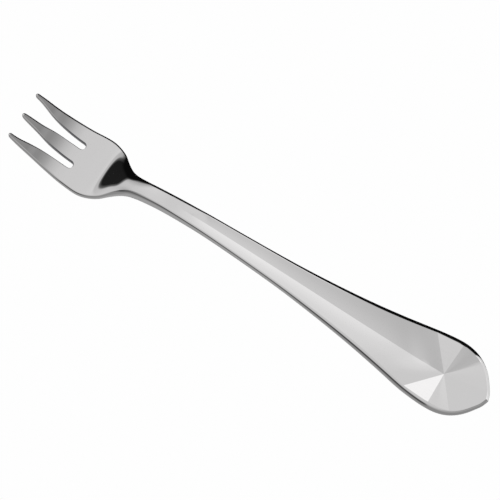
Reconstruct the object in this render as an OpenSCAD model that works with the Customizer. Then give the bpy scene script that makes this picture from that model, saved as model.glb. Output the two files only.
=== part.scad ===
// Oyster fork in one piece of polished stainless steel.
// The length runs along X with the tines at +X, the width along Y and the height along Z.
// The fork lies on the plane Z = 0, and the origin is under the middle of its length.

/* [Lengths] */
// Length of the head, from the tine tips to the neck
head_l = 37; // [30:0.5:45]
// Length of the narrow neck
neck_l = 22.9; // [15:0.1:35]
// Length of the handle, from the neck to its point
handle_l = 90.1; // [70:0.1:120]
// Length of the slots between the tines
tine_l = 18.1; // [12:0.1:20]
// Length of the handle end that carries the short facets
facet_l = 22.4; // [16:0.1:26]
// Distance from the centre of the facets to the point of the handle
hub_l = 14; // [11:0.1:15]

/* [Widths] */
// Width across the outer sides of the three tips
tips_w = 14.9; // [12:0.1:18]
// Width of the head at its widest
head_w = 18.6; // [17:0.1:24]
// Width of the neck at its narrowest
neck_w = 5.24; // [4:0.02:8]
// Width of the handle at its widest
end_w = 21.54; // [16:0.02:28]
// Width of the middle tine at its root
tine_w = 4.4; // [3.2:0.1:5]
// Width of each slot between the tines
slot_w = 2.05; // [1.8:0.05:3]
// Width of a tine at its tip
tip_w = 1.2; // [0.8:0.1:1.6]

/* [Heights above the table] */
// Top of the tine tips
tip_h = 10.44; // [6:0.1:16]
// Top of the crest behind the neck
crest_h = 9.67; // [6:0.01:14]
// Top of the handle's rim at the first facet lines
line1_h = 2.9; // [2.6:0.02:4]
// Top of the handle's rim at the second facet lines, where it is widest
rim_h = 3.08; // [2.6:0.02:4]
// Top of the handle's rim at the last facet lines
shoulder_h = 2.16; // [2:0.02:3.4]
// Top of the handle's point
point_h = 1.65; // [1.5:0.05:3]
// Centre of the facets
hub_h = 1.7; // [1.4:0.05:2.4]

/* [Thicknesses] */
// Thickness of the tine tips
tip_t = 1.2; // [0.8:0.1:1.6]
// Thickness of the palm
palm_t = 1.75; // [1.2:0.05:2.4]
// Thickness of the neck
neck_t = 3.6; // [2.4:0.1:5]
// Thickness of the handle at its rim
rim_t = 2.4; // [1.8:0.1:3]
// Thickness of the handle's point
point_t = 1.5; // [1:0.1:1.8]
// Depth of the handle's groove below the rim, where it is deepest
groove_d = 1.19; // [0.6:0.01:1.8]
// Rise of the throat's rounded back above its rims
throat_d = 1.31; // [0:0.01:2]
// Crown of the underside below the rim's lower edge
belly_d = 0.6; // [0.2:0.02:1]

/* [Edges] */
// Rounding of the outer edges of the tines and the palm
head_r = 0.75; // [0.2:0.05:1]
// Rounding of the edges that face the slots
slot_r = 0.6; // [0.2:0.05:0.8]
// Rounding of the neck
neck_r = 1.1; // [0.3:0.1:1.6]
// Rounding of the handle's rim
rim_r = 1.75; // [0.5:0.05:2]

/* [Hidden] */

fork_l = head_l + neck_l + handle_l;

// Distances from the tine tips, along the fork
neck_at = head_l;
handle_at = head_l + neck_l;
line1_at = fork_l - facet_l;
hub_at = fork_l - hub_l;
hub = [hub_at, 0, hub_h];
root_at = tine_l - slot_w / 2;

// Steps of the loft along each stretch
tip_n = 4;
tine_n = 13;
root_n = 4;
palm_n = 26;
neck_n = 13;
handle_n = 26;
facet_n = 5;
point_n = 10;

// Half widths of the outline. Each row is a share of a stretch and a share of a rise in width.
tips_outline_shares = [[0, 0], [0.08, 0.17], [0.19, 0.3], [0.32, 0.54], [0.49, 0.85]];
shoulder_outline_shares = [[0.62, 1], [0.7, 0.92], [0.784, 0.71], [0.85, 0.41], [0.92, 0.16]];
neck_outline_shares = [[0, 0.04], [0.22, 0], [0.57, 0.005]];
handle_outline_shares = [
    [0, 0.035], [0.13, 0.092], [0.28, 0.189], [0.42, 0.339],
    [0.555, 0.529], [0.667, 0.731], [0.755, 0.911], [0.82, 0.993]
];
end_outline_shares = [
    [0.855, 1], [0.885, 0.966], [0.911, 0.892], [0.939, 0.748],
    [0.961, 0.57], [0.98, 0.35], [0.9935, 0.17], [1, 0]
];

// Heights of the top, as shares of a stretch and of the rise between two named heights
tine_height_shares = [[0, 1], [0.216, 0.4535], [0.432, 0.071], [0.56, 0]];
throat_height_shares = [[0.63, 0], [0.757, 0.09], [0.892, 0.334], [1.027, 0.6635], [1.189, 0.8855]];
crest_height_shares = [[0.568, 0.982], [0.786, 1], [1.0045, 1], [1.223, 0.941]];
handle_height_shares = [[0.223, 0.716], [0.39, 0.468], [0.5565, 0.229], [0.689, 0.05]];

// Rise of the throat's back, which is steepest just behind the palm
throat_shares = [
    [0, 0], [0.649, 0], [0.703, -0.06], [0.73, 0.04], [0.757, 0.26], [0.784, 0.47],
    [0.811, 0.66], [0.838, 0.81], [0.865, 0.93], [0.892, 1], [0.919, 0.94], [0.946, 0.77],
    [0.973, 0.58], [1, 0.4], [1.027, 0.28], [1.081, 0.13], [1.135, 0.05], [1.3, 0]
];

// Thickness along the fork, as shares of a stretch and of the change between two thicknesses
tine_thickness_shares = [[0, 0], [0.216, 0.6], [0.432, 0.95], [0.62, 1]];
throat_thickness_shares = [[0.757, 0.1], [0.919, 0.63]];
neck_thickness_shares = [[0.13, 1], [0.565, 0.78], [1, 0.35]];

// Depth of the groove and crown of the underside along the handle
groove_shares = [
    [-0.138, 0], [-0.099, 0.227], [-0.071, 0.286], [-0.043, 0.337], [-0.021, 0.4], [0.001, 0.439],
    [0.046, 0.471], [0.09, 0.496], [0.179, 0.563], [0.267, 0.617], [0.356, 0.71],
    [0.445, 0.828], [0.534, 0.935], [0.623, 1], [0.689, 0.998], [0.756, 1]
];
belly_shares = [[-0.26, 0], [0, 0.3], [0.28, 0.5], [0.6, 0.8], [0.8, 1], [0.9, 0.7], [1, 0]];

// Sides of the slots: the middle tine's half width and the outer tines' inner side
middle_tine_shares = [
    [0, 0.27], [0.05, 0.35], [0.11, 0.42], [0.22, 0.52], [0.33, 0.62],
    [0.44, 0.79], [0.55, 0.91], [0.72, 0.97], [0.85, 1], [1, 1]
];
slot_flare_shares = [
    [0, 1], [0.06, 0.97], [0.11, 0.93], [0.2, 0.75], [0.33, 0.43],
    [0.44, 0.25], [0.55, 0.13], [0.72, 0.04], [0.85, 0], [1, 0]
];

// Rounding along the head, the slots and the handle
head_r_shares = [[0, 0.73], [0.11, 0.93], [0.49, 1], [0.81, 1]];
slot_r_shares = [[0, 0.92], [0.22, 1], [0.39, 0.83], [0.55, 0.47], [1, 0.42]];
rim_r_shares = [[0, 0.51], [0.22, 0.54], [0.39, 0.77], [0.555, 0.97], [0.85, 1], [0.933, 0.69], [1, 0.49]];

// Positions of the second and third facet lines along the facetted end
line2_share = 0.401;
line3_share = 0.692;
// Smallest size of a tine's end ring, and the web that closes a slot's round root
blunt_share = 0.3;
root_angle = 80;
root_end = root_at + slot_w / 2 * sin(root_angle);
// A rounded edge meets the flat in a faint fold, short of a quarter turn. The points on its arc:
edge_arc = 80;
edge_shares = [0, 0.4, 0.75, 1];
// The lower edges are rounded less than the upper ones
lower_r_share = 0.35;
// A rounding takes at most this much of the width and of the thickness that carry it
width_r_share = 0.46;
thickness_r_share = 0.72;
// Places of the columns across the neck, and where along the head they are reached
neck_column_shares = [1, 0.56, 0.37, 0.18, 0, -0.18, -0.37, -0.56, -1];
neck_column_share = 0.92;

line2_at = line1_at + line2_share * facet_l;
line3_at = line1_at + line3_share * facet_l;

// Tables along the fork, as pairs of a distance from the tips and a value
outline = [
    for (p = tips_outline_shares) [p[0] * head_l, (tips_w + p[1] * (head_w - tips_w)) / 2],
    for (p = shoulder_outline_shares) [p[0] * head_l, (neck_w + p[1] * (head_w - neck_w)) / 2],
    for (p = neck_outline_shares) [neck_at + p[0] * neck_l, (neck_w + p[1] * (head_w - neck_w)) / 2],
    for (p = handle_outline_shares) [handle_at + p[0] * handle_l, (neck_w + p[1] * (end_w - neck_w)) / 2],
    for (p = end_outline_shares) [handle_at + p[0] * handle_l, p[1] * end_w / 2]
];
heights = [
    for (p = tine_height_shares) [p[0] * head_l, palm_t + p[1] * (tip_h - palm_t)],
    for (p = throat_height_shares) [p[0] * head_l, palm_t + p[1] * (crest_h - palm_t)],
    for (p = crest_height_shares) [neck_at + p[0] * neck_l, rim_h + p[1] * (crest_h - rim_h)],
    for (p = handle_height_shares) [handle_at + p[0] * handle_l, rim_h + p[1] * (crest_h - rim_h)],
    [line1_at, line1_h],
    [line2_at, rim_h],
    [line3_at, shoulder_h],
    [fork_l, point_h]
];
thicknesses = [
    for (p = tine_thickness_shares) [p[0] * head_l, tip_t + p[1] * (palm_t - tip_t)],
    for (p = throat_thickness_shares) [p[0] * head_l, palm_t + p[1] * (neck_t - palm_t)],
    for (p = neck_thickness_shares) [neck_at + p[0] * neck_l, rim_t + p[1] * (neck_t - rim_t)],
    [handle_at + handle_l / 3, rim_t],
    [line2_at, rim_t],
    [fork_l, point_t]
];
roundings = [
    for (p = head_r_shares) [p[0] * head_l, p[1] * head_r],
    [neck_at, neck_r],
    for (p = rim_r_shares) [handle_at + p[0] * handle_l, p[1] * rim_r]
];
slot_roundings = [for (p = slot_r_shares) [p[0] * tine_l, p[1] * slot_r]];
throat = [for (p = throat_shares) [p[0] * head_l, p[1] * throat_d]];
groove = [
    [0, 0],
    for (p = groove_shares) [handle_at + p[0] * handle_l, p[1] * groove_d],
    [hub_at, height(hub_at) - hub_h]
];
belly = [[0, 0], for (p = belly_shares) [handle_at + p[0] * handle_l, p[1] * belly_d]];
middle_tine = [for (p = middle_tine_shares) [p[0] * tine_l, p[1] * tine_w / 2]];
slot_side = [
    for (p = slot_flare_shares)
        [p[0] * tine_l, tine_w / 2 + slot_w + p[1] * (tips_w / 2 - tip_w - tine_w / 2 - slot_w)]
];

// Smooth curve through the rows of a table, read at x
function span(table, x, i = 0) =
    i >= len(table) - 2 || x < table[i + 1][0] ? i : span(table, x, i + 1);
function rate(table, i) =
    let (a = table[max(i - 1, 0)], b = table[min(i + 1, len(table) - 1)])
    (b[1] - a[1]) / (b[0] - a[0]);
function smooth(table, x) =
    let (i = span(table, x),
         a = table[i],
         b = table[i + 1],
         h = b[0] - a[0],
         u = min(max((x - a[0]) / h, 0), 1))
    a[1] * (1 + 2 * u) * pow(1 - u, 2) + b[1] * u * u * (3 - 2 * u)
    + h * (rate(table, i) * u * pow(1 - u, 2) - rate(table, i + 1) * u * u * (1 - u));
function lerp(a, b, u) = a + (b - a) * u;

function height(s) = smooth(heights, s);
function thickness(s) = smooth(thicknesses, s);
function half_width(s) = max(smooth(outline, s), 0);
function rim_point(s) = [s, half_width(s), height(s)];

// Height of the plane through the facet centre and two rim points, read at a third one
function plane_height(s, s1, s2) =
    let (p = rim_point(s), n = cross(rim_point(s1) - hub, rim_point(s2) - hub))
    hub[2] - ((p[0] - hub[0]) * n[0] + (p[1] - hub[1]) * n[1]) / n[2];

// The short facets beside the handle's widest place are flat
function rim_height(s) =
    s > line1_at && s < line2_at ? plane_height(s, line1_at, line2_at) :
    s > line2_at && s < line3_at ? plane_height(s, line2_at, line3_at) :
    height(s);

// A section goes over the top from its first edge to its last and comes back underneath.
// It is made from flat points, each with its place and the heights of both faces there.
function corner(edge, inner, r, top) = [
    for (f = edge_shares)
        let (angle = edge_arc * f,
             reach = norm([inner[0] - edge[0], inner[1] - edge[1]]),
             flat = lerp(edge, inner, r * (1 - cos(angle)) / reach),
             drop = r * (sin(edge_arc) - sin(angle)))
        [flat[0], flat[1], top ? flat[2] - drop : flat[3] + drop]
];
function reversed(list) = [for (i = [len(list) - 1:-1:0]) list[i]];
function section(flats, r1, r2) =
    let (n = len(flats), inner = [for (i = [1:n - 2]) flats[i]])
    concat(
        corner(flats[0], flats[1], r1, true),
        [for (p = inner) [p[0], p[1], p[2]]],
        reversed(corner(flats[n - 1], flats[n - 2], r2, true)),
        corner(flats[n - 1], flats[n - 2], r2 * lower_r_share, false),
        [for (p = reversed(inner)) [p[0], p[1], p[3]]],
        reversed(corner(flats[0], flats[1], r1 * lower_r_share, false))
    );

// A tine's section between two places across. Its tip is round in both directions.
function tip_round(s) = s >= tip_w / 2 ? 1 : max(sqrt(1 - pow(1 - 2 * s / tip_w, 2)), blunt_share);
function tine_section(s, y1, y2, roundings1, roundings2) =
    let (f = tip_round(s),
         mid = (y1 + y2) / 2,
         half = abs(y1 - y2) / 2 * f,
         side = sign(y1 - y2),
         z = height(s) - thickness(s) / 2,
         rise = thickness(s) / 2 * f,
         most = min(width_r_share * 2 * half, thickness_r_share * 2 * rise))
    section(
        [for (v = [side, 0, -side]) [s, mid + v * half, z + rise, max(z - rise, 0)]],
        min(smooth(roundings1, s), most),
        min(smooth(roundings2, s), most)
    );

// Half of a slot's width that is left in its round root, and the sides of the tines there
function root_gap(s) = s <= root_at ? slot_w / 2 : sqrt(pow(slot_w / 2, 2) - pow(s - root_at, 2));
function middle_side(s) = smooth(middle_tine, s) + slot_w / 2 - root_gap(s);
function outer_side(s) = smooth(slot_side, s) - slot_w / 2 + root_gap(s);
function tine_rings(tine) = [
    for (s = tine_stations)
        tine == 1 ? tine_section(s, middle_side(s), -middle_side(s), slot_roundings, slot_roundings) :
        tine == 0 ? tine_section(s, half_width(s), outer_side(s), roundings, slot_roundings) :
        tine_section(s, -outer_side(s), -half_width(s), slot_roundings, roundings)
];

// The ribs of the handle turn with the facets: each runs straight from the rim to the centre line,
// which it meets further back, and from the first facet line on all of them meet at the facet centre
function centre_at(s) =
    s >= line1_at ? hub_at :
    s <= handle_at ? s :
    s + (hub_at - line1_at) * pow((s - handle_at) / (line1_at - handle_at), 2);
function body_section(s) =
    let (c = centre_at(s),
         edge = [s, half_width(s), rim_height(s), rim_height(s) - thickness(s)],
         centre = [c, 0, height(c) - smooth(groove, c), height(c) - thickness(c)],
         reach = norm([edge[0] - centre[0], edge[1]]),
         rise = smooth(throat, s),
         crown = smooth(belly, c),
         columns = columns_at(s),
         r = min(smooth(roundings, s), (1 - columns[1]) * reach, thickness_r_share * thickness(s)))
    section(
        [for (v = columns)
            let (p = lerp(centre, edge, abs(v)), bulge = 1 - v * v)
            [p[0], sign(v) * p[1], p[2] + rise * bulge, max(p[3] - crown * bulge, 0)]],
        r, r
    );

// Stations along the fork
tine_stations = [
    for (i = [0:tip_n]) tip_w / 2 * (1 - cos(90 * i / tip_n)),
    for (i = [1:tine_n]) lerp(tip_w / 2, root_at, i / tine_n),
    for (i = [1:root_n]) root_at + slot_w / 2 * sin(root_angle * i / root_n)
];
body_stations = [
    for (i = [1:palm_n]) lerp(root_end, neck_at, i / palm_n),
    for (i = [1:neck_n]) lerp(neck_at, handle_at, i / neck_n),
    for (i = [1:handle_n]) lerp(handle_at, line1_at, i / handle_n),
    for (i = [1:facet_n]) lerp(line1_at, line2_at, i / facet_n),
    for (i = [1:facet_n]) lerp(line2_at, line3_at, i / facet_n),
    for (i = [1:point_n]) lerp(fork_l, line3_at, pow(1 - i / point_n, 2))
];

// Places of the columns across a section of the body. They start at the tines' flat points at the
// slot root and draw together towards the neck.
root_w = half_width(root_end);
root_inset = smooth(slot_roundings, root_end) * (1 - cos(edge_arc));
outer_mid = (root_w + outer_side(root_end)) / 2 / root_w;
outer_in = (outer_side(root_end) + root_inset) / root_w;
middle_out = (middle_side(root_end) - root_inset) / root_w;
root_columns = [1, outer_mid, outer_in, middle_out, 0, -middle_out, -outer_in, -outer_mid, -1];
function columns_at(s) =
    let (u = min(max((s - root_at) / (neck_column_share * head_l - root_at), 0), 1),
         f = u * u * (3 - 2 * u))
    [for (i = [0:len(root_columns) - 1]) lerp(root_columns[i], neck_column_shares[i], f)];

// Point numbers. A section has e points on each corner. Between the corners of one face, a tine has
// one more and the body has inner_n.
e = len(edge_shares);
inner_n = len(root_columns) - 2;
half_n = (inner_n - 1) / 2;
tine_size = 4 * e + 2;
body_size = 4 * e + 2 * inner_n;
tine_sections = len(tine_stations);
body_sections = len(body_stations);
hub_section = palm_n + neck_n + handle_n - 1;
top_centre = e + half_n;
low_centre = 3 * e + inner_n + half_n;
function tine_point(tine, k, i) = (tine * tine_sections + k) * tine_size + i;
function tine_loop(tine, k) = [for (i = [0:tine_size - 1]) tine_point(tine, k, i)];

// The halves of the last section fall together, and the sections near it share the facet centre
function body_number(k, i) =
    (3 * tine_sections * tine_size) + k * body_size + i;
function body_point(k, i) =
    k > hub_section && (i == top_centre || i == low_centre) ? body_number(hub_section, i) :
    k == body_sections - 1 && i > top_centre && i < low_centre
        ? body_number(k, (2 * top_centre - i + body_size) % body_size) :
    body_number(k, i);
function body_loop(k) = [for (i = [0:body_size - 1]) body_point(k, i)];

// At the slot roots the three tines' last sections make up the body's first one
function root_part(tine, from, to) = [for (i = [from:to]) tine_point(tine, tine_sections - 1, i)];
root_loop = concat(
    root_part(0, 0, e + 1),
    root_part(1, e - 1, e + 1),
    root_part(2, e - 1, 3 * e + 2),
    root_part(1, 3 * e, 3 * e + 2),
    root_part(0, 3 * e, 4 * e + 1)
);

// Triangles between two rows of points, without those that have closed up
function triangles(list) = [for (t = list) if (t[0] != t[1] && t[1] != t[2] && t[2] != t[0]) t];
function strip(a, b) = triangles([
    for (i = [0:len(a) - 2])
        each [[a[i], b[i + 1], a[i + 1]], [a[i], b[i], b[i + 1]]]
]);
function closed(loop) = concat(loop, [loop[0]]);
function skin(a, b) = strip(closed(a), closed(b));
function web(left, right) = strip(
    root_part(left, e + 1, 3 * e),
    concat(reversed(root_part(right, 0, e - 1)), reversed(root_part(right, 3 * e + 2, 4 * e + 1)))
);

// The whole blank as one loft: three tines, the webs of the slots, and the body behind them
module lofted_blank() {
    sections = [
        for (tine = [0:2])
            each tine_rings(tine),
        for (s = body_stations)
            body_section(s)
    ];
    faces = concat(
        [for (tine = [0:2]) tine_loop(tine, 0)],
        [
            for (tine = [0:2])
                for (k = [1:tine_sections - 1])
                    each skin(tine_loop(tine, k - 1), tine_loop(tine, k))
        ],
        web(0, 1),
        web(1, 2),
        skin(root_loop, body_loop(0)),
        [for (k = [1:body_sections - 1]) each skin(body_loop(k - 1), body_loop(k))]
    );
    translate([fork_l / 2, 0, 0])
        mirror([1, 0, 0])
            polyhedron([for (points = sections) each points], faces);
}

module fork() {
    color("silver")
        lofted_blank();
}

fork();
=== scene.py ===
import math

import bpy
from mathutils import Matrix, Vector


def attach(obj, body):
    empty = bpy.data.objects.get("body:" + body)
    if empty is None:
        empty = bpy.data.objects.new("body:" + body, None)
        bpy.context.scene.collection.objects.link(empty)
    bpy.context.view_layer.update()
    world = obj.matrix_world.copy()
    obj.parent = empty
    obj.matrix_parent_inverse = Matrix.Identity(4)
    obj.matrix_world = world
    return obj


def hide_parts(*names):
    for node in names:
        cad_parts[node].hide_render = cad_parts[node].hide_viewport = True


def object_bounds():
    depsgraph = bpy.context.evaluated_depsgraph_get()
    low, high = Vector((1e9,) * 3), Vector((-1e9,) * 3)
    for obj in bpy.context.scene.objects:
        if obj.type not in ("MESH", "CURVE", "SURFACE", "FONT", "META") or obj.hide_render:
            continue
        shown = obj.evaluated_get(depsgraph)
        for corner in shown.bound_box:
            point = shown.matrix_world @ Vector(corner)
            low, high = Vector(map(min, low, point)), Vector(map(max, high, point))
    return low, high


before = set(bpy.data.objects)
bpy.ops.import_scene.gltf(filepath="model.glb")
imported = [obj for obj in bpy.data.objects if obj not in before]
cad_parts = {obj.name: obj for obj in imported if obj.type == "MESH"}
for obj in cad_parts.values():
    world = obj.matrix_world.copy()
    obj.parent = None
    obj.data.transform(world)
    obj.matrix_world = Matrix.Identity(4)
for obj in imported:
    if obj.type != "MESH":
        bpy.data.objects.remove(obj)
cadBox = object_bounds()
mm = 0.001
print("frame loaded")


# Sizes of the fork in millimetres. Places along it are counted from the tine tips, and the near
# side is +Y.

forkSizes = {
    "head": 37,               # from the tips to the neck
    "neck": 23,
    "slots": 18.1,
    "line1ToEnd": 22.4,       # from where the facet lines meet the rim to the handle's end
    "line2ToEnd": 13.42,
    "line3ToEnd": 6.9,
    "hubToEnd": 14,           # and from where they meet each other
    "tipsWidth": 14.9,
    "palmWidth": 18.6,
    "neckWidth": 5.24,
    "handleWidth": 21.54,
    "tineWidth": 4.4,         # of the middle tine at its root
    "tipWidth": 1.2,
    "slotWidth": 2.05,
    "tipsHeight": 10.44,      # tops above the table
    "crestHeight": 9.67,
    "line1Height": 2.9,
    "line2Height": 3.08,
    "line3Height": 2.16,
    "endHeight": 1.65,
    "hubHeight": 1.7,
    "tipsThickness": 1.2,
    "palmThickness": 1.75,
    "neckThickness": 3.6,
    "rimThickness": 2.4,
    "endThickness": 1.5,
    "crown": 0.6,             # most that the underside's middle hangs below its edges
    "bluntShare": 0.3,        # smallest part of a tine's end ring
    "lowerEdge": 0.35,        # rounding below, as a share of the one above
    "mostOfWidth": 0.46,      # most that a rounding takes of a width, and of a thickness
    "mostOfThickness": 0.72,
    "webAngle": 80,           # part of a slot's round end that the tines make
    "edgeArc": 80,            # a rounded edge meets the flat in a faint fold, short of 90 degrees
    "edgeShares": [0, 0.4, 0.75, 1],
    "flatFrom": 34,           # the throat's rounded back turns flatter on top between these
    "flatTo": 37.5,
    "roundPower": 2,
    "flatPower": 2.6,
    "neckColumns": [1, 0.56, 0.37, 0.18, 0, -0.18, -0.37, -0.56, -1],
    "neckColumnsAt": 34,      # where the columns across the palm have drawn together to these
    "valleySoftAt": 49,       # the valley's fold starts soft and is crisp from the second place on
    "valleyCrispAt": 72,
}
# The frame gives the fork's length, and the places along it follow from the sizes
forkLength = round((cadBox[1].x - cadBox[0].x) / mm, 3)
forkPlaces = {
    "rootAt": forkSizes["slots"] - forkSizes["slotWidth"] / 2,     # where a slot's round end starts
    "neckAt": forkSizes["head"],
    "handleAt": forkSizes["head"] + forkSizes["neck"],
    "line1At": forkLength - forkSizes["line1ToEnd"],
    "line2At": forkLength - forkSizes["line2ToEnd"],
    "line3At": forkLength - forkSizes["line3ToEnd"],
    "hubAt": forkLength - forkSizes["hubToEnd"],
}
# Sharpness of the facet lines on the near and on the far side
lineFolds = {"line1At": (1, 1), "line2At": (0.35, 0), "line3At": (1, 1)}
# Steps of the rings along each stretch, and how the mesh is put together
meshing = {
    "tip": 4, "tine": 13, "slotRoot": 4, "palm": 26, "neck": 13, "handle": 26, "facet": 5, "end": 10,
    "mergeWithin": 0.004,     # points closer than this, in mm, become one
    "foundWithin": 0.002,     # a point counts as on a fold's line this close to it, in mm
    "markSharpFrom": 0.9,     # sharpness from which a fold also splits the shading
    "smoothLevels": 2,
}


# Smooth curves along the fork. Each goes through rows of a place and a value.

def mix(a, b, u):
    return a + (b - a) * u


# Rows given as shares of a stretch and of the change between two values
def rows(stretch, first, last, shares):
    return [(mix(*stretch, along), mix(first, last, part)) for along, part in shares]


def smooth(table, x):
    i = max((i for i in range(len(table) - 1) if table[i][0] <= x), default=0)
    (x0, y0), (x1, y1) = table[i], table[i + 1]
    width = x1 - x0
    u = min(max((x - x0) / width, 0), 1)

    def slope(j):
        before, after = table[max(j - 1, 0)], table[min(j + 1, len(table) - 1)]
        return (after[1] - before[1]) / (after[0] - before[0])

    level = y0 * (1 + 2 * u) * (1 - u) ** 2 + y1 * u * u * (3 - 2 * u)
    return level + width * (slope(i) * u * (1 - u) ** 2 - slope(i + 1) * u * u * (1 - u))


alongHead = (0, forkPlaces["neckAt"])
alongNeck = (forkPlaces["neckAt"], forkPlaces["handleAt"])
alongHandle = (forkPlaces["handleAt"], forkLength)
halfTips, halfPalm, halfNeck, halfHandle, halfTine = (
    forkSizes[width] / 2
    for width in ("tipsWidth", "palmWidth", "neckWidth", "handleWidth", "tineWidth"))

# Half width of the outline
outline = (
    rows(alongHead, halfTips, halfPalm, [
        (0, 0), (0.08, 0.17), (0.19, 0.3), (0.32, 0.54), (0.49, 0.85)])
    + rows(alongHead, halfNeck, halfPalm, [
        (0.62, 1), (0.7, 0.92), (0.784, 0.71), (0.85, 0.41), (0.92, 0.16)])
    + rows(alongNeck, halfNeck, halfPalm, [(0, 0.04), (0.22, 0), (0.57, 0.005)])
    + rows(alongHandle, halfNeck, halfHandle, [
        (0, 0.035), (0.13, 0.092), (0.28, 0.189), (0.42, 0.339), (0.555, 0.529), (0.667, 0.731),
        (0.755, 0.911), (0.82, 0.993)])
    + rows(alongHandle, 0, halfHandle, [
        (0.855, 1), (0.885, 0.966), (0.911, 0.892), (0.939, 0.748), (0.961, 0.57), (0.98, 0.35),
        (0.9935, 0.17), (1, 0)])
)
# Height of the rim's top above the table. The palm lies on the table.
rimHeight = (
    rows(alongHead, forkSizes["palmThickness"], forkSizes["tipsHeight"], [
        (0, 1), (0.216, 0.4535), (0.432, 0.071), (0.56, 0)])
    + rows(alongHead, forkSizes["palmThickness"], forkSizes["crestHeight"], [
        (0.63, 0), (0.757, 0.0904), (0.892, 0.3337), (1.027, 0.6635), (1.189, 0.8854)])
    + rows(alongNeck, forkSizes["line2Height"], forkSizes["crestHeight"], [
        (0.565, 0.982), (0.783, 1), (1, 1), (1.217, 0.9415)])
    + rows(alongHandle, forkSizes["line2Height"], forkSizes["crestHeight"], [
        (0.222, 0.716), (0.389, 0.4683), (0.556, 0.229), (0.689, 0.0496)])
    + [(forkPlaces["line%dAt" % line], forkSizes["line%dHeight" % line]) for line in (1, 2, 3)]
    + [(forkLength, forkSizes["endHeight"])]
)
sheetThickness = (
    rows(alongHead, forkSizes["tipsThickness"], forkSizes["palmThickness"], [
        (0, 0), (0.216, 0.6), (0.432, 0.951), (0.62, 1)])
    + rows(alongHead, forkSizes["palmThickness"], forkSizes["neckThickness"], [
        (0.757, 0.1), (0.919, 0.63)])
    + rows(alongNeck, forkSizes["rimThickness"], forkSizes["neckThickness"], [
        (0.13, 1), (0.565, 0.78), (1, 0.35)])
    + [(place, forkSizes["rimThickness"]) for place in (90, forkPlaces["line2At"])]
    + [(forkLength, forkSizes["endThickness"])]
)
rimRounding = [
    (0, 0.55), (4, 0.7), (forkSizes["slots"], 0.75), (30, 0.75), (forkPlaces["neckAt"], 1.1),
    (forkPlaces["handleAt"], 0.9), (80, 0.95), (95, 1.35), (110, 1.7),
    (forkPlaces["line2At"], 1.75), (144, 1.2), (forkLength, 0.85),
]
slotRounding = [(0, 0.55), (4, 0.6), (7, 0.5), (10, 0.28), (forkSizes["slots"], 0.25)]
# Depth of the handle's valley below its rim
valleyDepth = [
    (0, 0), (47.5, 0), (51, 0.27), (53.5, 0.34), (56, 0.4), (58, 0.475),
    (forkPlaces["handleAt"], 0.522), (64, 0.56), (68, 0.59), (76, 0.67), (84, 0.734), (92, 0.845),
    (100, 0.985), (108, 1.112), (116, 1.188), (122, 1.186), (128, 1.188),
    (forkPlaces["hubAt"], smooth(rimHeight, forkPlaces["hubAt"]) - forkSizes["hubHeight"]),
]
# Height of the throat's rounded back above its rim
throatRise = [
    (0, 0), (24, 0), (26, -0.08), (27, 0.05), (28, 0.34), (29, 0.62), (30, 0.86), (31, 1.06),
    (32, 1.22), (33, 1.31), (34, 1.23), (35, 1.01), (36, 0.76), (37, 0.53), (38, 0.37),
    (40, 0.17), (42, 0.07), (48, 0), (forkLength, 0),
]
# Swell of the long facets, and of the short ones just behind the widest place, as a share of the
# half width
facetSwell = [
    (0, 0), (50, 0), (58, 0.023), (112, 0.023), (forkPlaces["line1At"], 0), (134, 0),
    (forkPlaces["line2At"], 0), (139.2, 0.02), (forkPlaces["line3At"], 0), (forkLength, 0),
]
# How far the underside's middle hangs below its edges
crownDepth = [(0, 0)] + rows(alongHandle, 0, forkSizes["crown"], [
    (-0.26, 0), (0, 0.3), (0.28, 0.5), (0.6, 0.8), (0.8, 1), (0.9, 0.7), (1, 0)])
# Half width of the middle tine, as shares of that at its root
middleTine = [
    (place, share * halfTine) for place, share in (
        (0, 0.27), (0.9, 0.35), (2, 0.42), (4, 0.52), (6, 0.62), (8, 0.791), (10, 0.909),
        (13, 0.97), (15.4, 1), (forkSizes["slots"], 1))
]
# Inner side of the outer tines, as shares of the way that it flares from root to tips
outerTine = [
    (place, mix(halfTine + forkSizes["slotWidth"], halfTips - forkSizes["tipWidth"], share))
    for place, share in (
        (0, 1), (1.1, 0.97), (2, 0.93), (3.6, 0.75), (6, 0.43), (8, 0.25), (10, 0.13),
        (13, 0.04), (15.4, 0), (forkSizes["slots"], 0))
]


def softShare(s, start, end):
    u = min(max((s - start) / (end - start), 0), 1)
    return u * u * (3 - 2 * u)


def mixPoints(a, b, u):
    return tuple(mix(p, q, u) for p, q in zip(a, b))


def halfWidth(s):
    return max(smooth(outline, s), 0)


def rimPoint(s):
    return Vector((s, halfWidth(s), smooth(rimHeight, s)))


hub = Vector((forkPlaces["hubAt"], 0, forkSizes["hubHeight"]))


# The rim beside the widest place follows the planes through the hub and two facet lines' ends
def rimTop(s):
    lines = [forkPlaces[line] for line in lineFolds]
    for first, last in zip(lines, lines[1:]):
        if first < s < last:
            normal = (rimPoint(first) - hub).cross(rimPoint(last) - hub)
            return hub.z - ((s - hub.x) * normal.x + halfWidth(s) * normal.y) / normal.z
    return smooth(rimHeight, s)


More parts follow.
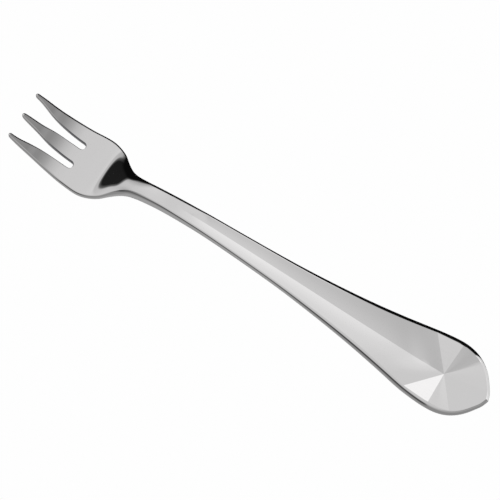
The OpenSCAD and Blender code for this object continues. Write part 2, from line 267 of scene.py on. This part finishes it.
# A ring of points round a cut through the steel: over the top, then back underneath.
# Each flat point has its place and the heights of both faces there.
def cutRing(flats, firstRounding, lastRounding):
    arc = math.radians(forkSizes["edgeArc"])

    def corner(edge, inner, radius, above):
        points = []
        reach = math.hypot(inner[0] - edge[0], inner[1] - edge[1])
        for share in forkSizes["edgeShares"]:
            angle = arc * share
            x, y, top, bottom = mixPoints(edge, inner, radius * (1 - math.cos(angle)) / reach)
            drop = radius * (math.sin(arc) - math.sin(angle))
            points.append((x, y, top - drop if above else bottom + drop))
        return points

    middle = flats[1:-1]
    lower = forkSizes["lowerEdge"]
    return (
        corner(flats[0], flats[1], firstRounding, True)
        + [(p[0], p[1], p[2]) for p in middle]
        + corner(flats[-1], flats[-2], lastRounding, True)[::-1]
        + corner(flats[-1], flats[-2], lastRounding * lower, False)
        + [(p[0], p[1], p[3]) for p in reversed(middle)]
        + corner(flats[0], flats[1], firstRounding * lower, False)[::-1]
    )


# Rings of the three tines

def tipRound(s):
    tip = forkSizes["tipWidth"]
    if s >= tip / 2:
        return 1
    return max(math.sqrt(1 - (1 - 2 * s / tip) ** 2), forkSizes["bluntShare"])


# A tine's two sides each have a place across the fork and their own rounding
def tineRing(s, y1, rounding1, y2, rounding2):
    share = tipRound(s)
    middle = (y1 + y2) / 2
    half = abs(y1 - y2) / 2 * share
    side = 1 if y1 > y2 else -1
    thickness = smooth(sheetThickness, s)
    z = smooth(rimHeight, s) - thickness / 2
    rise = thickness / 2 * share
    most = min(forkSizes["mostOfWidth"] * 2 * half, forkSizes["mostOfThickness"] * 2 * rise)
    flats = [(s, middle + v * half, z + rise, max(z - rise, 0)) for v in (side, 0, -side)]
    return cutRing(flats, min(smooth(rounding1, s), most), min(smooth(rounding2, s), most))


# Half of a slot's width that is left, which closes in its round end
def rootGap(s):
    half = forkSizes["slotWidth"] / 2
    if s <= forkPlaces["rootAt"]:
        return half
    return math.sqrt(half ** 2 - (s - forkPlaces["rootAt"]) ** 2)


def middleSide(s):
    return smooth(middleTine, s) + forkSizes["slotWidth"] / 2 - rootGap(s)


def outerSide(s):
    return smooth(outerTine, s) - forkSizes["slotWidth"] / 2 + rootGap(s)


def tineStations():
    tip, root = forkSizes["tipWidth"] / 2, forkPlaces["rootAt"]
    half = forkSizes["slotWidth"] / 2
    places = []
    for i in range(meshing["tip"] + 1):
        places.append(tip * (1 - math.cos(math.radians(90 * i / meshing["tip"]))))
    for i in range(meshing["tine"]):
        places.append(mix(tip, root, (i + 1) / meshing["tine"]))
    for i in range(meshing["slotRoot"]):
        angle = math.radians(forkSizes["webAngle"] * (i + 1) / meshing["slotRoot"])
        places.append(root + half * math.sin(angle))
    return places


# Rings of the body. On the handle each rib runs straight from the rim to the centre line, which
# it meets further back, and all the ribs of the facetted end meet at the hub.

def centreAt(s):
    start, line1 = forkPlaces["handleAt"], forkPlaces["line1At"]
    if s >= line1:
        return forkPlaces["hubAt"]
    return s + (forkPlaces["hubAt"] - line1) * (max(s - start, 0) / (line1 - start)) ** 2


# The columns across a ring start at the tines' flats and draw together on the neck
def columnsAt(s, rootColumns):
    share = softShare(s, forkPlaces["rootAt"], forkSizes["neckColumnsAt"])
    return [mix(a, b, share) for a, b in zip(rootColumns, forkSizes["neckColumns"])]


def bodyRing(s, rootColumns):
    columns = columnsAt(s, rootColumns)
    thickness = smooth(sheetThickness, s)
    c = centreAt(s)
    top = smooth(rimHeight, c)
    edge = (s, halfWidth(s), rimTop(s), rimTop(s) - thickness)
    centre = (c, 0, top - smooth(valleyDepth, c), top - smooth(sheetThickness, c))
    reach = math.hypot(edge[0] - centre[0], edge[1])
    rounding = min(
        smooth(rimRounding, s), (1 - columns[1]) * reach, forkSizes["mostOfThickness"] * thickness)
    flatness = softShare(s, forkSizes["flatFrom"], forkSizes["flatTo"])
    power = mix(forkSizes["roundPower"], forkSizes["flatPower"], flatness)
    flats = []
    for v in columns:
        x, y, above, below = mixPoints(centre, edge, abs(v))
        above += smooth(throatRise, s) * (1 - abs(v) ** power)
        above += smooth(facetSwell, s) * halfWidth(s) * abs(v) * (1 - abs(v))
        below -= smooth(crownDepth, c) * (1 - v * v)
        flats.append((x, math.copysign(y, v), above, max(below, 0)))
    return cutRing(flats, rounding, rounding)


def bodyStations(rootEnd):
    stretches = [
        (rootEnd, forkPlaces["neckAt"], meshing["palm"]),
        (forkPlaces["neckAt"], forkPlaces["handleAt"], meshing["neck"]),
        (forkPlaces["handleAt"], forkPlaces["line1At"], meshing["handle"]),
        (forkPlaces["line1At"], forkPlaces["line2At"], meshing["facet"]),
        (forkPlaces["line2At"], forkPlaces["line3At"], meshing["facet"]),
    ]
    places = []
    for start, end, count in stretches:
        places += [mix(start, end, (i + 1) / count) for i in range(count)]
    for i in range(meshing["end"]):
        share = (1 - (i + 1) / meshing["end"]) ** 2
        places.append(mix(forkLength, forkPlaces["line3At"], share))
    return places


# Modelling

def pointAt(point):
    return Vector(((forkLength / 2 - point[0]) * mm, point[1] * mm, point[2] * mm))


# A grid, one row for each ring, laid over the rings
def layGrid(name, rings):
    bpy.ops.object.select_all(action="DESELECT")
    bpy.ops.mesh.primitive_grid_add(
        x_subdivisions=len(rings[0]) - 1, y_subdivisions=len(rings) - 1)
    piece = bpy.context.object
    piece.name = name
    for vertex, point in zip(piece.data.vertices, [p for ring in rings for p in ring]):
        vertex.co = pointAt(point)
    return piece


def joinPieces(pieces):
    bpy.ops.object.select_all(action="DESELECT")
    for piece in pieces:
        piece.select_set(True)
    bpy.context.view_layer.objects.active = pieces[0]
    bpy.ops.object.join()
    return pieces[0]


# Turns every edge between neighbouring points of a line into a fold of that sharpness
def foldAlong(piece, line, sharpness):
    mesh = piece.data
    onLine = {}
    places = [pointAt(p) for p in line]
    for vertex in mesh.vertices:
        for i, place in enumerate(places):
            if (vertex.co - place).length < meshing["foundWithin"] * mm:
                onLine[vertex.index] = i
    for edge in mesh.edges:
        a, b = (onLine.get(i) for i in edge.vertices)
        edge.select = a is not None and b is not None and abs(a - b) == 1
    bpy.ops.object.mode_set(mode="EDIT")
    bpy.ops.transform.edge_crease(value=sharpness)
    if sharpness >= meshing["markSharpFrom"]:
        bpy.ops.mesh.mark_sharp()
    bpy.ops.object.mode_set(mode="OBJECT")


def makeFork():
    steps = len(forkSizes["edgeShares"])
    stations = tineStations()
    rootEnd = stations[-1]
    tines = [[], [], []]
    for s in stations:
        rim, inner, side = halfWidth(s), outerSide(s), middleSide(s)
        tines[0].append(tineRing(s, rim, rimRounding, inner, slotRounding))
        tines[1].append(tineRing(s, side, slotRounding, -side, slotRounding))
        tines[2].append(tineRing(s, -inner, slotRounding, -rim, rimRounding))
    pieces = []
    for name, rings in zip(("nearTine", "middleTine", "farTine"), tines):
        tip = [sum(p[axis] for p in rings[0]) / len(rings[0]) for axis in range(3)]
        closed = [[tip] * len(rings[0])] + rings
        pieces.append(layGrid(name, [ring + ring[:1] for ring in closed]))

    # Between two tines a slot ends in a narrow web
    ends = [rings[-1] for rings in tines]
    for left, right in ((ends[0], ends[1]), (ends[1], ends[2])):
        facing = right[:steps][::-1] + right[3 * steps + 2:][::-1]
        pieces.append(layGrid("web", [left[steps + 1:3 * steps + 1], facing]))

    # The body's first ring goes round all three tines
    near, middle, far = ends
    rootRing = (
        near[:steps + 2] + middle[steps - 1:steps + 2] + far[steps - 1:3 * steps + 3]
        + middle[3 * steps:3 * steps + 3] + near[3 * steps:]
    )
    wide = halfWidth(rootEnd)
    inset = smooth(slotRounding, rootEnd) * (1 - math.cos(math.radians(forkSizes["edgeArc"])))
    oneSide = [
        1,
        (wide + outerSide(rootEnd)) / 2 / wide,
        (outerSide(rootEnd) + inset) / wide,
        (middleSide(rootEnd) - inset) / wide,
    ]
    columns = oneSide + [0] + [-v for v in reversed(oneSide)]
    places = bodyStations(rootEnd)
    bodyRings = [rootRing] + [bodyRing(s, columns) for s in places]
    pieces.append(layGrid("body", [ring + ring[:1] for ring in bodyRings]))

    fork = joinPieces(pieces)
    fork.name = "polishedFork"
    bpy.ops.object.mode_set(mode="EDIT")
    bpy.ops.mesh.select_all(action="SELECT")
    bpy.ops.mesh.remove_doubles(threshold=meshing["mergeWithin"] * mm)
    bpy.ops.mesh.normals_make_consistent(inside=False)
    bpy.ops.mesh.select_all(action="DESELECT")
    bpy.ops.object.mode_set(mode="OBJECT")
    bpy.ops.object.shade_smooth()

    # Over the top of a ring the flat runs from one rounded edge past the middle to the other
    firstFlat, topMiddle = steps - 1, steps + 3
    lastFlat = 2 * topMiddle - firstFlat

    # The valley down the middle folds more and more
    crispFrom, softFrom = forkSizes["valleyCrispAt"], forkSizes["valleySoftAt"]
    valleyEnd = forkPlaces["line1At"] + meshing["mergeWithin"]
    valley = [ring[topMiddle] for s, ring in zip(places, bodyRings[1:]) if s <= valleyEnd]
    for a, b in zip(valley, valley[1:]):
        share = ((a[0] + b[0]) / 2 - softFrom) / (crispFrom - softFrom)
        sharpness = min(max(share, 0), 1)
        if sharpness > 0:
            foldAlong(fork, [a, b], sharpness)

    # The lines of the facets
    for line, (nearSharpness, farSharpness) in lineFolds.items():
        ring = bodyRing(forkPlaces[line], columns)
        foldAlong(fork, ring[firstFlat:topMiddle + 1], nearSharpness)
        foldAlong(fork, ring[topMiddle:lastFlat + 1], farSharpness)

    # Faint folds where the rounded edges start
    runs = [(tine, (firstFlat, steps + 1)) for tine in tines] + [(bodyRings, (firstFlat, lastFlat))]
    for rings, indexes in runs:
        for index in indexes:
            foldAlong(fork, [ring[index] for ring in rings], 1)

    finish = fork.modifiers.new("smoothSteel", "SUBSURF")
    finish.levels = finish.render_levels = meshing["smoothLevels"]
    return fork


fork = makeFork()
print("fork modelled:", len(fork.data.polygons), "faces before smoothing")


# Materials

def hexColour(text):
    channels = [int(text[i:i + 2], 16) / 255 for i in (1, 3, 5)]
    linear = [c / 12.92 if c <= 0.04045 else ((c + 0.055) / 1.055) ** 2.4 for c in channels]
    return (*linear, 1)


# Adds a node. An input takes a value, a socket, or a node, whose first output is linked.
def addNode(tree, kind, inputs=(), **settings):
    node = tree.nodes.new(kind)
    for name, value in settings.items():
        setattr(node, name, value)
    for socket, value in dict(inputs).items():
        if isinstance(value, bpy.types.Node):
            value = value.outputs[0]
        if isinstance(value, bpy.types.NodeSocket):
            tree.links.new(value, node.inputs[socket])
        else:
            node.inputs[socket].default_value = value
    return node


steelFinish = {
    "colour": "#CDCCCC",
    "roughness": 0.045,
    "roughnessShares": (0.8, 1.3),   # least and most of it, between these levels of the lines
    "lineLevels": (0.3, 0.7),
    "polishLines": 0.5,       # size of the buffing lines across the fork, in mm
    "lineStretch": 0.04,      # that size as a share of their size along it
    "lineBump": (0.03, 0.01),        # strength, and depth in mm
    "waviness": 9,            # size of the slow waves that hand polishing leaves, in mm
    "waveBump": (0.04, 0.02),
    "slotShadeColour": "#6E6E72",  # painted shade inside the slots, between the tines
    "slotRoughness": 0.2,
    "slotReach": 1.12,        # half width of the strip of painted shade and duller steel at a slot's round end, in mm
    "slotOpens": 0.0059,      # what it gains with the square of the distance from there
    "slotShift": 0.12,        # of the shaded, duller strip towards the far side
    "slotBlur": 0.06,         # of the strip's edge, to each side
    "slotFades": (14, 4),     # the strip is gone at the first of these distances from its end
}


# Polished 18/10 stainless steel, stamped and then buffed along its length. It mirrors the room
# softly, a little greyer than chrome, with faint lines along the fork.
def polishedStainless():
    material = bpy.data.materials.new("polished 18/10 stainless steel")
    material.use_nodes = True
    tree = material.node_tree
    tree.nodes.clear()
    place = addNode(tree, "ShaderNodeTexCoord").outputs["Object"]
    along = addNode(tree, "ShaderNodeMapping", {
        "Vector": place, "Scale": (steelFinish["lineStretch"], 1, 1)})
    lines = addNode(tree, "ShaderNodeTexNoise", {
        "Vector": along, "Scale": 1 / (steelFinish["polishLines"] * mm),
        "Detail": 2, "Roughness": 0.6})
    waves = addNode(tree, "ShaderNodeTexNoise", {
        "Vector": place, "Scale": 1 / (steelFinish["waviness"] * mm), "Detail": 1})
    least, most = (steelFinish["roughness"] * share for share in steelFinish["roughnessShares"])
    spread = addNode(tree, "ShaderNodeMapRange", {
        "Value": lines, "From Min": steelFinish["lineLevels"][0],
        "From Max": steelFinish["lineLevels"][1], "To Min": least, "To Max": most})

    # The two slots, by their distance from a slot's middle line. Beyond its round end, that is
    # the distance from the middle of the end. Inside this mask the steel gets painted shade, a
    # darker colour between the tines, and a rougher finish.
    slotEnd = forkLength / 2 - forkPlaces["rootAt"]
    slotMiddle = (forkSizes["tineWidth"] + forkSizes["slotWidth"]) / 2
    parts = addNode(tree, "ShaderNodeSeparateXYZ", {"Vector": place}).outputs
    beyond = addNode(tree, "ShaderNodeMath", {
        0: parts["X"], 1: 1 / mm, 2: -slotEnd}, operation="MULTIPLY_ADD")
    across = addNode(tree, "ShaderNodeMath", {
        0: parts["Y"], 1: 1 / mm, 2: steelFinish["slotShift"]}, operation="MULTIPLY_ADD")
    across = addNode(tree, "ShaderNodeMath", {0: across}, operation="ABSOLUTE")
    off = addNode(tree, "ShaderNodeMath", {
        0: across, 1: slotMiddle}, operation="SUBTRACT")
    back = addNode(tree, "ShaderNodeMath", {0: beyond, 1: 0}, operation="MINIMUM")
    fromMiddle = addNode(tree, "ShaderNodeCombineXYZ", {"X": off, "Y": back})
    away = addNode(tree, "ShaderNodeVectorMath", {0: fromMiddle}, operation="LENGTH")
    square = addNode(tree, "ShaderNodeMath", {0: beyond, 1: beyond}, operation="MULTIPLY")
    reach = addNode(tree, "ShaderNodeMath", {
        0: square, 1: steelFinish["slotOpens"], 2: steelFinish["slotReach"]},
        operation="MULTIPLY_ADD")
    inside = addNode(tree, "ShaderNodeMath", {
        0: reach, 1: away.outputs["Value"]}, operation="SUBTRACT")
    inSlot = addNode(tree, "ShaderNodeMapRange", {
        "Value": inside, "From Min": -steelFinish["slotBlur"], "From Max": steelFinish["slotBlur"]})
    toTips = addNode(tree, "ShaderNodeMapRange", {
        "Value": beyond, "From Min": steelFinish["slotFades"][0],
        "From Max": steelFinish["slotFades"][1]})
    slotShadeAndDull = addNode(tree, "ShaderNodeMath", {0: inSlot, 1: toTips}, operation="MULTIPLY")

    # Sockets 0, 6 and 7 of a colour mix are its share and its two colours, and 2 is the result. The
    # second colour is painted shade in the slots.
    colour = addNode(tree, "ShaderNodeMix", {
        0: slotShadeAndDull, 6: hexColour(steelFinish["colour"]), 7: hexColour(steelFinish["slotShadeColour"])},
        data_type="RGBA")
    polish = addNode(tree, "ShaderNodeMix", {
        "Factor": slotShadeAndDull, "A": spread, "B": steelFinish["slotRoughness"]})
    slow = addNode(tree, "ShaderNodeBump", {
        "Height": waves, "Strength": steelFinish["waveBump"][0],
        "Distance": steelFinish["waveBump"][1] * mm})
    fine = addNode(tree, "ShaderNodeBump", {
        "Height": lines, "Strength": steelFinish["lineBump"][0],
        "Distance": steelFinish["lineBump"][1] * mm, "Normal": slow})
    shader = addNode(tree, "ShaderNodeBsdfPrincipled", {
        "Base Color": colour.outputs[2], "Metallic": 1, "Roughness": polish, "Normal": fine})
    addNode(tree, "ShaderNodeOutputMaterial", {"Surface": shader})
    return material


fork.data.materials.clear()
fork.data.materials.append(polishedStainless())
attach(fork, "root")
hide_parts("fork")
print("steel finished")


# The table, a plain near-white sheet that is lit evenly. It lies a hair below the fork.

tableFinish = {"colour": "#FEFEFE", "size": 18, "below": 0.02}


def makeTable():
    bpy.ops.object.select_all(action="DESELECT")
    bpy.ops.mesh.primitive_plane_add(size=tableFinish["size"])
    table = bpy.context.object
    table.name = "table"
    table.location.z = -tableFinish["below"] * mm
    material = bpy.data.materials.new("backlit white acrylic sheet")
    material.use_nodes = True
    tree = material.node_tree
    tree.nodes.clear()
    colour = hexColour(tableFinish["colour"])
    glow = addNode(tree, "ShaderNodeEmission", {"Color": colour, "Strength": 1})
    addNode(tree, "ShaderNodeOutputMaterial", {"Surface": glow})
    table.data.materials.append(material)
    table.visible_glossy = False     # the steel mirrors the studio's lower walls instead
    table.visible_shadow = False     # the strip light reaches through it


makeTable()
print("table laid")


# The studio. Its soft walls of light go from straight down (-90 degrees) to straight up (90), and
# the ceiling covers their top. Each wall lists a height angle and its brightness.

studioWalls = {
    "tips": [
        (-90, 0.4), (0, 0.45), (8, 0.3), (12.5, 0.02), (25, 0.02), (30, 0.2), (34, 0.85),
        (45, 0.93), (57, 0.96), (90, 0.97)],
    "handle": [
        (-90, 0.45), (-60, 0.4), (-45, 0.3), (-30, 0.75), (-5, 0.8), (2, 0.35), (20, 0.3),
        (30, 0.4), (37, 0.48), (44, 0.41), (48, 0.22), (50, 0.2), (53, 0.35), (55, 0.47),
        (57, 0.62), (60, 0.78), (64, 0.9), (72, 0.93), (90, 0.93)],
    "near": [
        (-90, 0.5), (-54, 0.55), (-34, 0.44), (-14, 0.36), (0, 0.2), (5, 0.1), (12, 0.04),
        (28, 0.05), (42, 0.8), (60, 0.88), (90, 0.9)],
    "far": [
        (-90, 0.005), (42, 0.005), (46.5, 1.35), (49.5, 1.36), (52, 1.23), (55, 1.11), (57, 1.08),
        (60, 0.99), (63, 0.96), (90, 0.95)],
    "end": [
        (-90, 0.6), (-73, 0.55), (-54, 0.42), (-34, 0.4), (-13, 0.4), (8, 0.38), (27, 0.52),
        (40, 0.65), (90, 0.65)],
}
# Patches of the walls. Each fades in between two values of a direction's share along the fork,
# across it or up.
studioPatches = {
    # Low down beyond the handle's end, the near side of the room takes the wall named end
    "end": {
        "level": 1, "edges": {"along": (0.2, -0.1), "across": (-0.15, 0.15), "up": (0.7, 0.6)}},
    # Low down, the dark wall of the far side reaches further round towards both ends
    "dark": {"level": 1, "edges": {"across": (-0.42, -0.66), "up": (0.68, 0.6)}},
    # On the near side the tips' wall is light further down
    "light": {"level": 0.88, "edges": {"across": (0.12, 0.32), "up": (-0.1, 0.45)}},
}
# The ceiling's brightness changes evenly across it, and two of its corners are bright. Where
# they start is given as sines of angles from straight up, and where the ceiling itself starts
# as the sine of a height angle.
ceiling = {
    "startsAt": (0.965, 0.985), "middle": 0.82, "towardsFar": -0.62, "towardsNear": 0.65,
    "twist": -8.4, "least": 0.7, "bright": 1, "farCorner": (0.108, 0.12), "nearCorner": (0.1, 0.14),
}
# One small panel shows in the first facet on the near side
panel = {"azimuth": -75, "height": 58, "edges": (1.9, 1.1), "brightness": 0.45}


def lightStudio():
    world = bpy.data.worlds.new("studio")
    bpy.context.scene.world = world
    world.use_nodes = True
    tree = world.node_tree
    tree.nodes.clear()
    direction = addNode(tree, "ShaderNodeTexCoord").outputs["Generated"]
    x, y, z = addNode(tree, "ShaderNodeSeparateXYZ", {"Vector": direction}).outputs

    # The walls, each as a ramp over the height
    height = addNode(tree, "ShaderNodeMath", {0: z, 1: 0.5, 2: 0.5}, operation="MULTIPLY_ADD")
    walls = {}
    for name, levels in studioWalls.items():
        walls[name] = addNode(tree, "ShaderNodeValToRGB", {"Fac": height})
        stops = walls[name].color_ramp.elements
        while len(stops) < len(levels):
            stops.new(1)
        for stop, (angle, level) in zip(stops, levels):
            stop.position = (math.sin(math.radians(angle)) + 1) / 2
            stop.color = (level, level, level, 1)

    # A direction's shares along the fork and across it. The floor value keeps the division
    # sound straight up and down.
    across2 = addNode(tree, "ShaderNodeMath", {0: y, 1: y}, operation="MULTIPLY")
    level2 = addNode(tree, "ShaderNodeMath", {0: x, 1: x, 2: across2}, operation="MULTIPLY_ADD")
    level2 = addNode(tree, "ShaderNodeMath", {0: level2, 1: 0.0001}, operation="MAXIMUM")
    level = addNode(tree, "ShaderNodeMath", {0: level2}, operation="SQRT")
    shares = {
        "along": addNode(tree, "ShaderNodeMath", {0: x, 1: level}, operation="DIVIDE"),
        "across": addNode(tree, "ShaderNodeMath", {0: y, 1: level}, operation="DIVIDE"),
        "up": z,
    }
    patches = {}
    for name, patch in studioPatches.items():
        patches[name] = patch["level"]
        for way, (start, end) in patch["edges"].items():
            step = addNode(tree, "ShaderNodeMapRange", {
                "Value": shares[way], "From Min": start, "From Max": end},
                interpolation_type="SMOOTHSTEP")
            patches[name] = addNode(tree, "ShaderNodeMath", {
                0: patches[name], 1: step}, operation="MULTIPLY")

    # Each direction takes its brightness from the two walls that it lies between
    sideways = addNode(tree, "ShaderNodeMath", {0: across2, 1: level2}, operation="DIVIDE")
    sideways = addNode(tree, "ShaderNodeMath", {
        0: sideways, 1: patches["dark"]}, operation="MAXIMUM")
    tips = addNode(tree, "ShaderNodeMath", {
        0: walls["tips"], 1: patches["light"]}, operation="MAXIMUM")
    toTips = addNode(tree, "ShaderNodeMath", {0: x, 1: 0}, operation="GREATER_THAN")
    toNear = addNode(tree, "ShaderNodeMath", {0: y, 1: 0}, operation="GREATER_THAN")
    ends = addNode(tree, "ShaderNodeMix", {"Factor": toTips, "A": walls["handle"], "B": tips})
    sides = addNode(tree, "ShaderNodeMix", {
        "Factor": toNear, "A": walls["far"], "B": walls["near"]})
    around = addNode(tree, "ShaderNodeMix", {"Factor": sideways, "A": ends, "B": sides})
    around = addNode(tree, "ShaderNodeMix", {
        "Factor": patches["end"], "A": around, "B": walls["end"]})

    # The ceiling, by how far a direction leans towards its two bright corners
    diagonal = math.sqrt(0.5)
    towardsFar = addNode(tree, "ShaderNodeVectorMath", {
        0: direction, 1: (diagonal, -diagonal, 0)}, operation="DOT_PRODUCT").outputs["Value"]
    towardsNear = addNode(tree, "ShaderNodeVectorMath", {
        0: direction, 1: (diagonal, diagonal, 0)}, operation="DOT_PRODUCT").outputs["Value"]
    corners = 0
    for way, corner in ((towardsFar, "farCorner"), (towardsNear, "nearCorner")):
        step = addNode(tree, "ShaderNodeMapRange", {
            "Value": way, "From Min": ceiling[corner][0], "From Max": ceiling[corner][1]},
            interpolation_type="SMOOTHSTEP")
        corners = addNode(tree, "ShaderNodeMath", {0: corners, 1: step}, operation="MAXIMUM")
    fall = addNode(tree, "ShaderNodeMath", {
        0: towardsFar, 1: ceiling["towardsFar"], 2: ceiling["middle"]}, operation="MULTIPLY_ADD")
    rise = addNode(tree, "ShaderNodeMath", {
        0: towardsFar, 1: ceiling["twist"], 2: ceiling["towardsNear"]}, operation="MULTIPLY_ADD")
    even = addNode(tree, "ShaderNodeMath", {
        0: towardsNear, 1: rise, 2: fall}, operation="MULTIPLY_ADD")
    even = addNode(tree, "ShaderNodeClamp", {
        "Value": even, "Min": ceiling["least"], "Max": ceiling["bright"]})
    above = addNode(tree, "ShaderNodeMix", {"Factor": corners, "A": even, "B": ceiling["bright"]})
    upThere = addNode(tree, "ShaderNodeMapRange", {
        "Value": z, "From Min": ceiling["startsAt"][0], "From Max": ceiling["startsAt"][1]},
        interpolation_type="SMOOTHSTEP")
    room = addNode(tree, "ShaderNodeMix", {"Factor": upThere, "A": around, "B": above})

    # The panel is round and has a soft edge
    turn, tilt = math.radians(panel["azimuth"]), math.radians(panel["height"])
    towards = (math.cos(turn) * math.cos(tilt), math.sin(turn) * math.cos(tilt), math.sin(tilt))
    facing = addNode(tree, "ShaderNodeVectorMath", {
        0: direction, 1: towards}, operation="DOT_PRODUCT").outputs["Value"]
    outer, inner = (math.cos(math.radians(angle)) for angle in panel["edges"])
    shine = addNode(tree, "ShaderNodeMapRange", {
        "Value": facing, "From Min": outer, "From Max": inner, "To Max": panel["brightness"]},
        interpolation_type="SMOOTHSTEP")
    room = addNode(tree, "ShaderNodeMath", {0: room, 1: shine}, operation="ADD")
    light = addNode(tree, "ShaderNodeBackground", {"Color": room, "Strength": 1})
    addNode(tree, "ShaderNodeOutputWorld", {"Surface": light})


lightStudio()

# A strip light stands close beyond the handle's end on the far side, where only that end mirrors it
stripLight = {
    "place": (-119, -53.5, 0), "aimsAt": (-76, 8.5, 0), "size": (75, 190), "brightness": 1.05,
}


def addStripLight():
    place, target = Vector(stripLight["place"]) * mm, Vector(stripLight["aimsAt"]) * mm
    width, tall = (side * mm for side in stripLight["size"])
    turn = (target - place).to_track_quat("-Z", "Y").to_euler()
    bpy.ops.object.light_add(type="AREA", location=place, rotation=turn)
    light = bpy.context.object
    light.name = "stripLight"
    light.data.shape = "RECTANGLE"
    light.data.size, light.data.size_y = width, tall
    light.data.energy = stripLight["brightness"] * math.pi * width * tall
    light.visible_camera = False


addStripLight()
print("studio lit")


# The camera, at the photograph's angle. It looks at a point close to the fork's middle.

cameraSetup = {
    "place": (-174.95, 279.87, 947.15),
    "looksAt": (1.99, -1.49, 4.0),
    "lens": 263.43,
    "sensor": 36,
    "clipEnd": 20,            # in metres
}


def setCamera():
    place, target = Vector(cameraSetup["place"]) * mm, Vector(cameraSetup["looksAt"]) * mm
    turn = (target - place).to_track_quat("-Z", "Y").to_euler()
    bpy.ops.object.camera_add(location=place, rotation=turn)
    camera = bpy.context.object
    camera.data.lens = cameraSetup["lens"]
    camera.data.sensor_width = cameraSetup["sensor"]
    camera.data.clip_end = cameraSetup["clipEnd"]
    bpy.context.scene.camera = camera


setCamera()
bpy.context.scene.view_settings.view_transform = "Standard"

print("scene ready")
